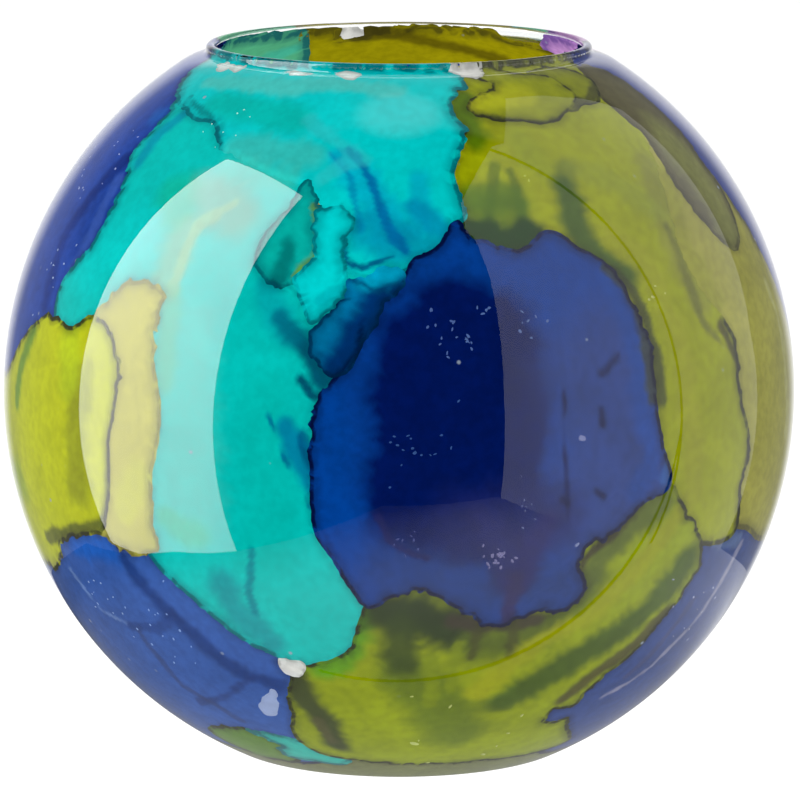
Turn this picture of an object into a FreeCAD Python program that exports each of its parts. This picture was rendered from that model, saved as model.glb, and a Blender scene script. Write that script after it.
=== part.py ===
import FreeCAD
import Part

import math
import os

from FreeCAD import Vector

# A hand blown ball vase: one clear glass shell whose inside is covered with poured pools of
# coloured lacquer. Millimetres, +Z up, origin at the centre of the circle that it stands on,
# and the vase faces -Y.

# ---- driving dimensions ------------------------------------------------------------------

BALL_R = 101.5            # outside radius of the blown ball
WALL = 3.0                # glass thickness round the ball
BALL_CENTRE_Z = 92.1      # height of the ball's centre, where the hot ball was pressed flat
BASE_THICKNESS = 5.0      # glass under the middle of the bowl
BASE_CORNER_R = 8.0       # rounding between the resting ring and the ball
BOWL_CORNER_R = 25.0      # rounding between the bowl's floor and its wall
PONTIL_R = 33.0           # radius of the ground hollow inside the resting ring
PONTIL_DEPTH = 1.8        # depth of that hollow at the axis

SHOULDER_START = 56.5     # degrees above the centre where the ball begins to flatten
SHOULDER_END = 78.0       # slope angle where the shoulder meets the collar
SHOULDER_R = 17.0         # radius of the flattened shoulder
COLLAR_FILLET_R = 1.3     # outside rounding from the shoulder up to the collar
LIP_R = 1.2               # fire polished lip, half of its thickness
LIP_CENTRE_HEIGHT = 88.7  # middle of the lip's bead above the ball's centre
NECK_R = 3.0              # rounding from the mouth out to the bowl

INK_THICKNESS = 0.4       # thickness of the lacquer film
INK_TOP_ANGLE = 185.0     # where the film stops on the neck's rounding, in degrees
REACH = 140.0             # distance from the centre at which a pool's outline is drawn
SMALLEST_CRUMB = 3.0      # cubic millimetres, a smaller stray piece of a pool is left off

CENTRE = Vector(0, 0, BALL_CENTRE_Z)

# ---- the pools ---------------------------------------------------------------------------
# Each outline is a list of directions from the ball's centre: degrees round the vase from the
# front (positive to the right) and degrees above the ball's waist. The pools are listed from
# the one that was poured first, which lies whole against the glass, to the last, which shows
# only where nothing lies in front of it.

POOLS = {
    "white_flecks": [
        [(-64.5, 60.5), (-60, 61), (-55, 60.5), (-51, 61), (-51.5, 59), (-55, 59.5),
         (-58, 58.5), (-62, 59)],
        [(-18.5, 61), (-14, 61.5), (-11.5, 61), (-13, 59.5), (-16.5, 60)],
        [(-35.5, 60.5), (-30.5, 61), (-26, 60.5), (-31, 60)],
        [(15.5, 62), (18.5, 60.5), (23, 60), (25.5, 61.5), (21, 63)],
        [(-19.5, -32.5), (-16, -33), (-18.5, -35.5)],
        [(-23.5, -39), (-25.5, -40.5), (-28, -44.5), (-26, -45), (-24, -42.5)],
        [(189, 61.5), (194, 62.5), (201, 61.5), (199, 60), (192, 60.5)],
    ],
    "lime_neck_petal": [
        [(23, 60), (25.5, 61.5), (30, 61.5), (34.5, 60), (41, 59), (46, 57), (47.5, 54.5),
         (45, 52.5), (41, 51), (33, 49.5), (26.5, 50.5), (19.5, 51), (16.5, 53),
         (18.5, 55), (24.5, 57), (26, 58.5)],
    ],
    "lime_lip_petal": [
        [(41, 60), (46, 60.5), (53, 60.5), (57.5, 58), (59, 56.5), (57, 54), (52.5, 52),
         (47.5, 52), (43, 51), (40, 55)],
    ],
    "turquoise_bead": [
        [(-13.5, 36), (-10.5, 35.5), (-8, 33), (-9.5, 30.5), (-9, 27), (-8, 24.5),
         (-11, 20.5), (-13, 19), (-14.5, 22), (-16, 25), (-14, 28), (-14, 32)],
    ],
    "teal_leaf": [
        [(-16.5, 39.5), (-14.5, 35.5), (-13, 31), (-13.5, 27.5), (-16.5, 24), (-20, 24.5),
         (-23, 27), (-22.5, 31), (-19.5, 35)],
    ],
    "petrol_lobes": [
        [(-8, 24.5), (-4.5, 26), (-1, 27), (1, 25), (-2, 22.5), (-3, 20), (-5, 17),
         (-8.5, 12), (-11.5, 13.5), (-12.5, 18), (-10, 20.5)],
    ],
    "cobalt_front": [
        [(10, 33.5), (14.5, 30), (20, 29), (25.5, 31.5), (29.5, 29), (35, 25), (37.5, 20),
         (39, 11), (40, 0), (41.5, -6.5), (37, -8), (32, -12.5), (27.5, -14.5),
         (27, -17.5), (29, -19.5), (25.5, -23.5), (20.5, -24), (16, -25.5), (11, -24),
         (6, -20), (1, -19), (-4.5, -22), (-8.5, -16), (-11.5, -11), (-12, -3),
         (-12, 3), (-11.5, 7.5), (-9, 11), (-5.5, 16.5), (-3.5, 21.5), (0, 24),
         (2.5, 28), (6.5, 30)],
    ],
    "lime_lower": [
        [(-4.5, -21.5), (0, -17.5), (8, -18), (16, -22), (23, -20), (25, -15), (32, -9.5),
         (40, -4.5), (44, -8.5), (46.5, -11.5), (50.5, -16), (52, -20), (49.5, -25), (47, -29.5),
         (42, -36), (38, -40), (36.5, -44), (32, -44), (33.5, -48), (38, -48),
         (42.5, -51.5), (49, -56), (32, -59), (12, -59), (-8, -58), (-20, -55.5),
         (-23.5, -50.5), (-21.5, -45), (-20, -38.5), (-17.5, -34.5), (-12.5, -32.5),
         (-8, -30), (-6, -25)],
    ],
    "lime_left": [
        [(-98, 3), (-87, 3), (-79, 5), (-74, 9), (-67.5, 13.5), (-61, 15), (-57, 14),
         (-52, 16.5), (-47.5, 15), (-44.5, 10), (-45.5, 0), (-46.5, -9), (-50, -14),
         (-58, -16), (-64.5, -20), (-68, -22.5), (-77, -23.5), (-89, -26), (-101, -22),
         (-107, -12), (-106, -2)],
    ],
    "lemon_pool": [
        [(-52, 16), (-49, 19), (-44.5, 22.5), (-38.5, 21.5), (-38.5, 14), (-36.5, 7),
         (-36.5, 0), (-38, -8), (-39, -16), (-44.5, -16), (-50, -14), (-53, -6), (-53, 8)],
    ],
    "turquoise_crown": [
        [(-82, 67), (-74, 59), (-69, 54.5), (-61.5, 52), (-54, 50), (-48, 49),
         (-44.5, 49), (-40, 46.5), (-34, 43.5), (-26, 41.5), (-18, 39.5), (-11.5, 35.5),
         (-8, 33), (-9.5, 30.5), (-9, 27.5), (-5.5, 26), (1.5, 27), (6.5, 30),
         (10.5, 34), (10, 38), (10, 42), (12, 45), (13.5, 48.5), (12, 53.5),
         (15, 57), (18, 59.5), (15.5, 63), (12, 68), (-34, 72)],
    ],
    "turquoise_wash": [
        [(-61.5, 51.5), (-60.5, 46), (-60.5, 42), (-57.5, 36), (-57, 30), (-59.5, 24),
         (-62.5, 20), (-62, 16), (-57, 11), (-49, 7), (-43, 0), (-41, -9), (-39, -16.5),
         (-33, -22.5), (-26, -28.5), (-19, -32.5), (-13, -35), (-5, -32), (0, -25),
         (-4, -12), (-6, 4), (-3, 18), (-5, 30), (-12, 42), (-30, 50), (-48, 54)],
    ],
    "olive_shoulder": [
        [(56.5, 52.5), (58.5, 56.5), (63, 59), (69, 57.5), (73.5, 53.5), (75, 47), (74, 38),
         (72.5, 29), (67, 25), (61.5, 29), (58.5, 36), (59.5, 44)],
    ],
    "lime_right": [
        [(8, 42), (8, 34), (14, 27), (30, 24), (35, 12), (36, -3), (41, -11), (50, -16),
         (60, -15.5), (59, -10), (60, -2), (57.5, 4.5), (58, 10), (55.5, 16),
         (51.5, 21), (50.5, 28), (54, 38), (59, 48), (61, 57), (61, 67), (36, 71), (12, 66),
         (9, 54)],
    ],
    "olive_veil": [
        [(46, 12), (46, 32), (54, 50), (62, 60), (70, 56), (75, 48), (74, 36), (78.5, 22.5),
         (85, 10), (94, 2), (103, -3), (105, -12), (98, -19), (88, -21.5), (79.5, -20.5),
         (70, -18), (63, -15.5), (54, -13), (48, 0)],
    ],
    "turquoise_scrap": [
        [(-35.5, -50.5), (-30, -51), (-23.5, -52.5), (-19, -55), (-14.5, -58.5),
         (-17, -60), (-24, -59), (-30.5, -58.5), (-32.5, -56.5), (-29.5, -54.5)],
    ],
    "lime_scrap": [
        [(-52.5, -54), (-46.5, -51.5), (-40, -50.5), (-33.5, -51), (-28, -54.5),
         (-30, -59.5), (-40, -61.5), (-49, -59.5)],
    ],
    "cobalt_lower_left": [
        [(-36, -14), (-46, -12), (-57, -12), (-66, -16), (-78, -20), (-92, -22), (-104, -20),
         (-112, -30), (-108, -42), (-96, -50), (-80, -55), (-62, -58), (-42, -60), (-25, -60),
         (-17, -54), (-15, -45), (-13, -36), (-14, -30), (-26, -22)],
    ],
    "cobalt_lower_right": [
        [(31, -45), (34, -34), (44, -20), (52, -11), (66, -11), (80, -15), (94, -17),
         (104, -20), (112, -32), (104, -45), (88, -53), (70, -58), (50, -60), (38, -56)],
    ],
    "cobalt_left": [
        [(-50, 40), (-54, 54), (-64, 68), (-84, 70), (-100, 66), (-110, 52), (-116, 36),
         (-113, 18), (-108, 4), (-97, -3), (-84, -2), (-72, 3), (-60, 6), (-52, 14),
         (-50, 26)],
    ],
    "cobalt_right": [
        [(57, 63), (64, 54), (68, 40), (70, 26), (78, 14), (86, 4), (96, -5), (108, -8),
         (120, 0), (127, 16), (126, 34), (117, 46), (108, 54), (92, 62), (74, 67)],
    ],
    "violet_blush": [
        [(97, 61), (106, 62.5), (118, 62.5), (128, 60.5), (131, 57), (131, 49), (124, 40),
         (112, 40), (102, 47), (95, 54)],
    ],
    "olive_back": [
        [(212, 67), (180, 71), (153, 69), (148, 61.5), (138, 59.5), (130, 57.5), (129, 54),
         (136, 45), (138, 34), (147, 23), (159, 15), (171, 20), (182, 11), (195, 18),
         (203, 30), (201, 44), (207, 56)],
    ],
    "teal_back": [
        [(262, 68), (232, 71), (206, 66), (198, 50), (197, 34), (203, 22), (214, 8),
         (226, -3), (239, -6), (249, 2), (256, 14), (258, 32), (258, 48), (262, 60)],
    ],
    "cobalt_back": [
        [(118, 24), (126, 46), (146, 40), (166, 30), (186, 22), (200, 8), (202, -10),
         (194, -28), (176, -38), (154, -37), (136, -28), (124, -12), (117, 4)],
    ],
    "turquoise_back": [
        [(188, 22), (204, 30), (222, 16), (240, 6), (257, 6), (264, -8), (262, -26), (252, -38),
         (234, -46), (214, -48), (196, -40), (186, -24), (185, 0)],
    ],
    "lime_back": [
        [(92, 0), (104, 10), (118, 12), (130, 4), (142, -12), (148, -30), (145, -46),
         (134, -57), (114, -60), (92, -57), (88, -40), (92, -18)],
    ],
    "petrol_back": [
        [(138, -30), (158, -30), (176, -34), (196, -32), (216, -38), (238, -40), (262, -40),
         (266, -56), (238, -64), (196, -66), (164, -65), (142, -60), (132, -46)],
    ],
}

# The last pour fills the bottom of the bowl up to a gently waving edge.
BOTTOM_POOL = "olive_base"
BOTTOM_POOL_EDGE = -53.0
BOTTOM_POOL_WAVE = 1.6
BOTTOM_POOL_POINTS = 24


# ---- profiles, in the X-Z plane -----------------------------------------------------------

def polar(centre, radius, degrees):
    """The point at an angle on a circle in the X-Z plane."""
    angle = math.radians(degrees)
    return centre + Vector(radius * math.cos(angle), 0, radius * math.sin(angle))


def arc(centre, radius, start, end):
    """A circular arc from one angle to another, in degrees."""
    middle = polar(centre, radius, (start + end) / 2)
    return Part.Arc(polar(centre, radius, start), middle, polar(centre, radius, end)).toShape()


def line(start, end):
    return Part.LineSegment(start, end).toShape()


def angle_of(vector):
    return math.degrees(math.atan2(vector.z, vector.x))


def inside_fillet(ball_r, fillet_r, floor_z):
    """Centre of a rounding that touches a flat floor and the inside of a ball."""
    height = floor_z + fillet_r
    reach = math.sqrt((ball_r - fillet_r) ** 2 - (height - BALL_CENTRE_Z) ** 2)
    return Vector(reach, 0, height)


LIP_CENTRE_X = (polar(Vector(), BALL_R - SHOULDER_R, SHOULDER_START).x
                + (SHOULDER_R + COLLAR_FILLET_R) * math.cos(math.radians(SHOULDER_END))
                - COLLAR_FILLET_R - LIP_R)
LIP_CENTRE = CENTRE + Vector(LIP_CENTRE_X, 0, LIP_CENTRE_HEIGHT)
NECK_CENTRE_X = LIP_CENTRE_X - LIP_R + NECK_R
NECK_CENTRE = CENTRE + Vector(
    NECK_CENTRE_X, 0, math.sqrt((BALL_R - WALL + NECK_R) ** 2 - NECK_CENTRE_X ** 2))
NECK_END = 180 + angle_of(NECK_CENTRE - CENTRE)
BOWL_CORNER = inside_fillet(BALL_R - WALL, BOWL_CORNER_R, BASE_THICKNESS)


def outside_edges():
    """From the underside's middle, up the outside, to the top of the lip's outer half."""
    corner = inside_fillet(BALL_R, BASE_CORNER_R, 0)
    corner_end = angle_of(corner - CENTRE)
    shoulder = polar(CENTRE, BALL_R - SHOULDER_R, SHOULDER_START)
    collar = polar(shoulder, SHOULDER_R + COLLAR_FILLET_R, SHOULDER_END)
    hollow_top = Vector(0, 0, PONTIL_DEPTH)
    hollow_rim = Vector(PONTIL_R, 0, 0)
    hollow_middle = Vector(PONTIL_R / 2, 0, PONTIL_DEPTH * 3 / 4)
    lip_side = LIP_CENTRE + Vector(LIP_R, 0, 0)
    return [
        Part.Arc(hollow_top, hollow_middle, hollow_rim).toShape(),
        line(hollow_rim, Vector(corner.x, 0, 0)),
        arc(corner, BASE_CORNER_R, -90, corner_end),
        arc(CENTRE, BALL_R, corner_end, SHOULDER_START),
        arc(shoulder, SHOULDER_R, SHOULDER_START, SHOULDER_END),
        arc(collar, COLLAR_FILLET_R, 180 + SHOULDER_END, 180),
        line(collar - Vector(COLLAR_FILLET_R, 0, 0), lip_side),
        arc(LIP_CENTRE, LIP_R, 0, 180),
    ]


def inside_edges(offset, neck_start):
    """From the neck down the bowl's wall to the middle of its floor, moved inwards by offset."""
    ball_r = BALL_R - WALL - offset
    corner_end = angle_of(BOWL_CORNER - CENTRE)
    floor = BASE_THICKNESS + offset
    return [
        arc(NECK_CENTRE, NECK_R + offset, neck_start, NECK_END),
        arc(CENTRE, ball_r, NECK_END - 180, corner_end),
        arc(BOWL_CORNER, BOWL_CORNER_R - offset, corner_end, -90),
        line(Vector(BOWL_CORNER.x, 0, floor), Vector(0, 0, floor)),
    ]


def turned(edges):
    """A solid of revolution about the vase's axis."""
    wire = Part.Wire(Part.__sortEdges__(edges))
    return Part.Face(wire).revolve(Vector(), Vector(0, 0, 1), 360)


def glass_body():
    neck_top = NECK_CENTRE - Vector(NECK_R, 0, 0)
    lip_inside = LIP_CENTRE - Vector(LIP_R, 0, 0)
    axis = line(Vector(0, 0, BASE_THICKNESS), Vector(0, 0, PONTIL_DEPTH))
    edges = outside_edges() + [line(lip_inside, neck_top)] + inside_edges(0, 180) + [axis]
    return turned(edges)


def ink_film():
    """The whole film of lacquer on the inside of the glass, before it is parted into pools."""
    top = line(polar(NECK_CENTRE, NECK_R, INK_TOP_ANGLE),
               polar(NECK_CENTRE, NECK_R + INK_THICKNESS, INK_TOP_ANGLE))
    axis = line(Vector(0, 0, BASE_THICKNESS), Vector(0, 0, BASE_THICKNESS + INK_THICKNESS))
    against_glass = inside_edges(0, INK_TOP_ANGLE)
    free_face = inside_edges(INK_THICKNESS, INK_TOP_ANGLE)
    return turned(against_glass + free_face + [top, axis])


# ---- pools -------------------------------------------------------------------------------

def direction(round_degrees, up_degrees):
    around = math.radians(round_degrees)
    up = math.radians(up_degrees)
    return Vector(math.cos(up) * math.sin(around), -math.cos(up) * math.cos(around),
                  math.sin(up))


def cone(outline):
    """The solid cone from the ball's centre through a smooth closed outline."""
    rays = [direction(*point) for point in outline]
    middle = Vector()
    for ray in rays:
        middle = middle + ray
    middle.normalize()
    points = [CENTRE + ray * (REACH / ray.dot(middle)) for ray in rays]
    curve = Part.BSplineCurve()
    curve.interpolate(Points=points, PeriodicFlag=True)
    return Part.makeLoft([Part.Vertex(CENTRE), Part.Wire(curve.toShape())], True, True)


def bottom_outline():
    outline = []
    for step in range(BOTTOM_POOL_POINTS):
        around = 360 * step / BOTTOM_POOL_POINTS
        wave = math.sin(math.radians(3 * around)) + math.cos(math.radians(5 * around))
        outline.append((around, BOTTOM_POOL_EDGE + BOTTOM_POOL_WAVE * wave / 2))
    return outline


def ink_pools():
    """Each pool takes its share of what the pools in front of it have left."""
    remaining = ink_film()
    outlines = dict(POOLS)
    outlines[BOTTOM_POOL] = [bottom_outline()]
    pools = {}
    for name, shapes in outlines.items():
        pieces = []
        for outline in shapes:
            cutter = cone(outline)
            pieces += remaining.common(cutter).Solids
            remaining = remaining.cut(cutter)
        pools[name] = [piece for piece in pieces if piece.Volume > SMALLEST_CRUMB]
    return pools, remaining


def main():
    os.makedirs("parts", exist_ok=True)
    body = glass_body()
    body.exportStep("parts/glass_body.step")
    pools, left_over = ink_pools()
    for name, pieces in pools.items():
        shape = pieces[0] if len(pieces) == 1 else Part.makeCompound(pieces)
        shape.exportStep("parts/" + name + ".step")
        print(name, len(pieces), "solid(s)", round(shape.Volume, 1), "mm3, valid",
              shape.isValid())
    box = body.BoundBox
    print("glass", round(body.Volume, 1), "mm3", round(box.XLength, 2), round(box.YLength, 2),
          round(box.ZLength, 2), "left over", round(left_over.Volume, 1),
          [round(piece.Volume, 1) for piece in left_over.Solids])


main()
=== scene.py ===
import math
import random

import bpy
import numpy as np
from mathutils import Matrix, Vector, geometry, kdtree, noise


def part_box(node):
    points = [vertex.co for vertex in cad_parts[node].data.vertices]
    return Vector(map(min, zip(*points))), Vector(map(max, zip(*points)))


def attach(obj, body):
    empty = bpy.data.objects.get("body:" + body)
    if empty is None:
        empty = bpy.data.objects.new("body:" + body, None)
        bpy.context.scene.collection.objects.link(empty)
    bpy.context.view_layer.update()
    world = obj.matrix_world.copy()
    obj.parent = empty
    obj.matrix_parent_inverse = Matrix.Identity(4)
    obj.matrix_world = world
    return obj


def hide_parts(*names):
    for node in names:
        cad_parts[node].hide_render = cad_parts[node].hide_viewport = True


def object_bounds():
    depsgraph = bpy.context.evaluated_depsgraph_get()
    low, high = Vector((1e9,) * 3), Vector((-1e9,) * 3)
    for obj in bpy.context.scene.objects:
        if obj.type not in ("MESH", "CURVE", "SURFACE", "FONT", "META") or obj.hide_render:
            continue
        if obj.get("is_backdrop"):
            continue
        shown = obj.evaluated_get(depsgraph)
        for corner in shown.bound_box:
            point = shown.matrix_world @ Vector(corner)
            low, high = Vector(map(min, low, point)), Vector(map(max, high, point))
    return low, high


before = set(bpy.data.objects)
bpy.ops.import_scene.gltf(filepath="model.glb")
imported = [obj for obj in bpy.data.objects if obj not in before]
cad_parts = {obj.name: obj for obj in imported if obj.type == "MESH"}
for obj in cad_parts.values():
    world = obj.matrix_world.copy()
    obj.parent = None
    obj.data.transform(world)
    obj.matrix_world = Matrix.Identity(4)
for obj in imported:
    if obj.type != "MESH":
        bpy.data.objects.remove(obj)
noise.seed_set(4)          # unseeded, vector noise would differ from run to run

# A hand blown ball vase: clear glass, with pools of coloured lacquer poured inside. Metres.
# A direction is degrees round the vase from its front, positive to the right, and degrees
# above the ball's waist, both seen from the ball's centre.

# ---- the glass's section, from the frame and the blown shape's own dimensions ----

CAD_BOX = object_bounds()
GLASS_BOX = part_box("glass_body")
BALL_R = (GLASS_BOX[1].x - GLASS_BOX[0].x) / 2
LIP_R = 0.0012
LIP_CENTRE_HEIGHT = 0.0887
BALL_CENTRE_Z = GLASS_BOX[1].z - LIP_R - LIP_CENTRE_HEIGHT
CENTRE = np.array((0.0, 0.0, BALL_CENTRE_Z))
WALL = 0.003
BASE_THICKNESS = 0.005
BASE_CORNER_R = 0.008
BOWL_CORNER_R = 0.025
PONTIL_R = 0.033
PONTIL_DEPTH = 0.0018
SHOULDER_START = 56.5
SHOULDER_END = 78.0
SHOULDER_R = 0.017
COLLAR_FILLET_R = 0.0013
NECK_R = 0.003
INSIDE_R = BALL_R - WALL

GLASS_SEGMENTS = 256
BALL_STEPS = 90            # rings of the mesh from the base to the shoulder
LIP_STEPS = 8              # rings of each quarter of the lip
STILL_RINGS = 20           # rings at the collar and lip that don't ripple
STILL_BELOW = -0.08        # no ripple further than this below the ball's centre
GLASS_RIPPLE = 0.00004     # how far the blown surface wanders
GLASS_RIPPLE_SIZE = 0.045

# ---- the poured pools ----

RIM_STEP = 0.0004          # distance between points along a pool's rim
GRAIN = 0.0009             # distance between points inside a pool
RIM_CLEAR = 0.0005         # gap between the rim and the first points inside it
LAP = 0.0004               # how far the first pool runs under the ones in front of it
LAP_STEP = 0.00005         # how much further each later pool runs
INK_SINK = 0.0003          # the first pool's outer face, outwards from the glass's inner face
LAYER_STEP = 0.00001       # each later pool lies this much further in
INK_THICKNESS = 0.0005
WASH = 2.1                 # half width in millimetres from which a stroke is a streaky wash
BROAD = 5.0                # half width from which a wash has smoother edges
LIGHT_SPECK_LAYERS = 6         # the painted light specks lie this many steps further out than the first pool
SPOT_CORNERS = 10
ON_GLASS = 0.0001          # a CAD corner this near the glass's inner face lies on it
FACING = 0.2               # cosine of the most that a CAD face turned to the glass leans away
RIM_WANDER = ((0.0075, 0.0010), (0.0026, 0.0010), (0.0013, 0.0007))     # size, reach
ROUGH_SIZE = 0.018         # length of the rough and the smooth stretches of a rim
BRUSH_WANDER = ((0.013, 0.0018), (0.0042, 0.0004))                      # size, reach
BRUSH_OFFSET = 7.3         # takes the strokes' wander from another place than the rims'
FRAY_SIZE = 0.0017         # the fine and the broad unevenness of a stroke's edge
SWAY_SIZE = 0.006
FINE_STREAK = 0.0006       # the spacing of a wash's streaks along it
BROAD_STREAK = 0.0017
CALM_RIM = 0.01            # the rim distance that hides a pool's dark line
CLOUD_SCALE = 45           # patterns in the lacquer, in waves along a metre
GRAIN_SCALE = 420
PATCH_SCALE = 140          # the gaps in the rim's line
CLUSTER_SCALE = 60         # the clusters of pinholes
LINE_WIDTH = 0.0006        # the dark line along a rim, and the softer shade inside it
RIM_SHADE = 0.45
RIM_SHADE_WIDTH = 0.003
FINE_MOTTLE = 0.9          # the fine grain's share of the mottling
PINHOLE_CELLS = 420        # small cells along a metre, a few of which hold a pinhole
# painted light: the pale colour of the light that shines through a pinhole
PINHOLE_LIGHT_COLOUR = (0.3, 0.36, 0.45, 1)
LIGHT_THROUGH = 0.3        # share of a lacquer that glows from behind


# ---- small helpers ----

def linear(colour):
    """A display colour from 0 to 255 as the linear colour that a shader takes."""
    part = np.array(colour[:3], float) / 255
    return np.where(part <= 0.04045, part / 12.92, ((part + 0.055) / 1.055) ** 2.4)


def direction(around, up):
    a, b = np.radians(around), np.radians(up)
    return np.stack((np.cos(b) * np.sin(a), -np.cos(b) * np.cos(a), np.sin(b)), axis=-1)


def wander(points, bands, offset=0.0):
    """A smooth wandering of each point in space, summed over bands of (size, reach)."""
    total = np.zeros_like(points)
    for size, reach in bands:
        for row, point in enumerate(points / size + offset):
            total[row] += reach * np.array(noise.noise_vector(point))
    return total


def smooth(value):
    value = np.clip(value, 0, 1)
    return value * value * (3 - 2 * value)


def mesh_object(name, vertices, faces):
    mesh = bpy.data.meshes.new(name)
    mesh.from_pydata(vertices, [], faces)
    obj = bpy.data.objects.new(name, mesh)
    bpy.context.scene.collection.objects.link(obj)
    return obj


def lit_from_behind(obj):
    """Light reaches what is behind the piece as if it weren't there, so all colours glow."""
    obj.visible_shadow = False
    obj.visible_diffuse = False


# ---- profiles: rows of (radius, height) ----

def polar(centre, radius, degrees):
    angle = math.radians(degrees)
    return np.array((centre[0] + radius * math.cos(angle), centre[1] + radius * math.sin(angle)))


def arc(centre, radius, start, end, steps):
    return [polar(centre, radius, angle) for angle in np.linspace(start, end, steps + 1)]


def straight(start, end, steps):
    return [np.array(start) + (np.array(end) - start) * t for t in np.linspace(0, 1, steps + 1)]


def angle_of(vector):
    return math.degrees(math.atan2(vector[1], vector[0]))


def inside_fillet(ball_r, fillet_r, floor_z):
    """Centre of a rounding that touches a flat floor and the inside of a ball."""
    height = floor_z + fillet_r
    reach = math.sqrt((ball_r - fillet_r) ** 2 - (height - BALL_CENTRE_Z) ** 2)
    return np.array((reach, height))


MIDDLE = np.array((0.0, BALL_CENTRE_Z))
SHOULDER = polar(MIDDLE, BALL_R - SHOULDER_R, SHOULDER_START)
COLLAR = polar(SHOULDER, SHOULDER_R + COLLAR_FILLET_R, SHOULDER_END)
LIP_CENTRE = np.array((COLLAR[0] - COLLAR_FILLET_R - LIP_R, BALL_CENTRE_Z + LIP_CENTRE_HEIGHT))
NECK_X = LIP_CENTRE[0] - LIP_R + NECK_R
NECK = MIDDLE + (NECK_X, math.sqrt((INSIDE_R + NECK_R) ** 2 - NECK_X ** 2))
NECK_END = 180 + angle_of(NECK - MIDDLE)
BOWL_CORNER = inside_fillet(INSIDE_R, BOWL_CORNER_R, BASE_THICKNESS)


def outside_profile():
    """From the middle of the underside, up the ball, to the top of the lip."""
    corner = inside_fillet(BALL_R, BASE_CORNER_R, 0)
    corner_end = angle_of(corner - MIDDLE)
    punt_r = (PONTIL_R ** 2 + PONTIL_DEPTH ** 2) / (2 * PONTIL_DEPTH)
    punt = np.array((0.0, PONTIL_DEPTH - punt_r))
    punt_end = math.degrees(math.acos(PONTIL_R / punt_r))
    return (arc(punt, punt_r, 90, punt_end, 10)
            + straight((PONTIL_R, 0), (corner[0], 0), 3)[1:]
            + arc(corner, BASE_CORNER_R, -90, corner_end, 12)[1:]
            + arc(MIDDLE, BALL_R, corner_end, SHOULDER_START, BALL_STEPS)[1:]
            + arc(SHOULDER, SHOULDER_R, SHOULDER_START, SHOULDER_END, 12)[1:]
            + arc(COLLAR, COLLAR_FILLET_R, 180 + SHOULDER_END, 180, 8)[1:]
            + arc(LIP_CENTRE, LIP_R, 0, 90, LIP_STEPS))


def inside_profile():
    """From the top of the lip, down the neck and the bowl, to the middle of its floor."""
    corner_end = angle_of(BOWL_CORNER - MIDDLE)
    return (arc(LIP_CENTRE, LIP_R, 90, 180, LIP_STEPS)
            + arc(NECK, NECK_R, 180, NECK_END, 12)
            + arc(MIDDLE, INSIDE_R, NECK_END - 180, corner_end, BALL_STEPS)[1:]
            + arc(BOWL_CORNER, BOWL_CORNER_R, corner_end, -90, 16)[1:]
            + straight((BOWL_CORNER[0], BASE_THICKNESS), (0, BASE_THICKNESS), 8)[1:])


def inner_reach(directions):
    """How far the glass's inner face is from the ball's centre, in each direction."""
    section = np.array(inside_profile()[LIP_STEPS + 1:]) - MIDDLE
    up = np.degrees(np.arctan2(section[:, 1], section[:, 0]))
    far = np.linalg.norm(section, axis=1)
    return np.interp(np.degrees(np.arcsin(directions[:, 2])), up[::-1], far[::-1])


# ---- the glass ----

def turned_mesh(name, profile):
    """A closed solid of revolution, whose profile starts and ends on the axis."""
    around = np.linspace(0, 2 * math.pi, GLASS_SEGMENTS, endpoint=False)
    rings = profile[1:-1]
    points = [(r * math.cos(a), r * math.sin(a), z) for r, z in rings for a in around]
    bottom, top = len(points), len(points) + 1
    points += [(0, 0, profile[0][1]), (0, 0, profile[-1][1])]
    faces = []
    for step in range(GLASS_SEGMENTS):
        beside = (step + 1) % GLASS_SEGMENTS
        for ring in range(len(rings) - 1):
            here, above = ring * GLASS_SEGMENTS, (ring + 1) * GLASS_SEGMENTS
            faces.append((here + step, here + beside, above + beside, above + step))
        last = (len(rings) - 1) * GLASS_SEGMENTS
        faces.append((bottom, beside, step))
        faces.append((top, last + step, last + beside))
    return mesh_object(name, points, faces)


def ripple(obj, outside_rings):
    """The blown surface wanders inwards a little, most at the shoulder, not at foot or lip."""
    for vertex in obj.data.vertices[:outside_rings * GLASS_SEGMENTS]:
        out = Vector(vertex.co) - Vector(CENTRE)
        swell = smooth(0.5 + out.z / BALL_R * 0.5) if out.z > STILL_BELOW else 0.0
        wave = 0.5 + 0.5 * noise.noise(vertex.co / GLASS_RIPPLE_SIZE)
        vertex.co -= out.normalized() * GLASS_RIPPLE * wave * swell


def glass_material():
    material = bpy.data.materials.new("clear_glass")
    material.use_nodes = True
    shader = material.node_tree.nodes["Principled BSDF"]
    shader.inputs["Base Color"].default_value = (0.985, 0.995, 0.99, 1)
    shader.inputs["Transmission Weight"].default_value = 1
    shader.inputs["Roughness"].default_value = 0
    shader.inputs["IOR"].default_value = 1.5
    return material


def make_glass():
    outside, inside = outside_profile(), inside_profile()
    glass = turned_mesh("blown_glass", outside + inside[1:])
    ripple(glass, len(outside) - STILL_RINGS)
    for face in glass.data.polygons:
        face.use_smooth = True
    glass.data.materials.append(glass_material())
    lit_from_behind(glass)
    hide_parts("glass_body")
    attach(glass, "root")


# ---- a pool's shape ----

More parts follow.
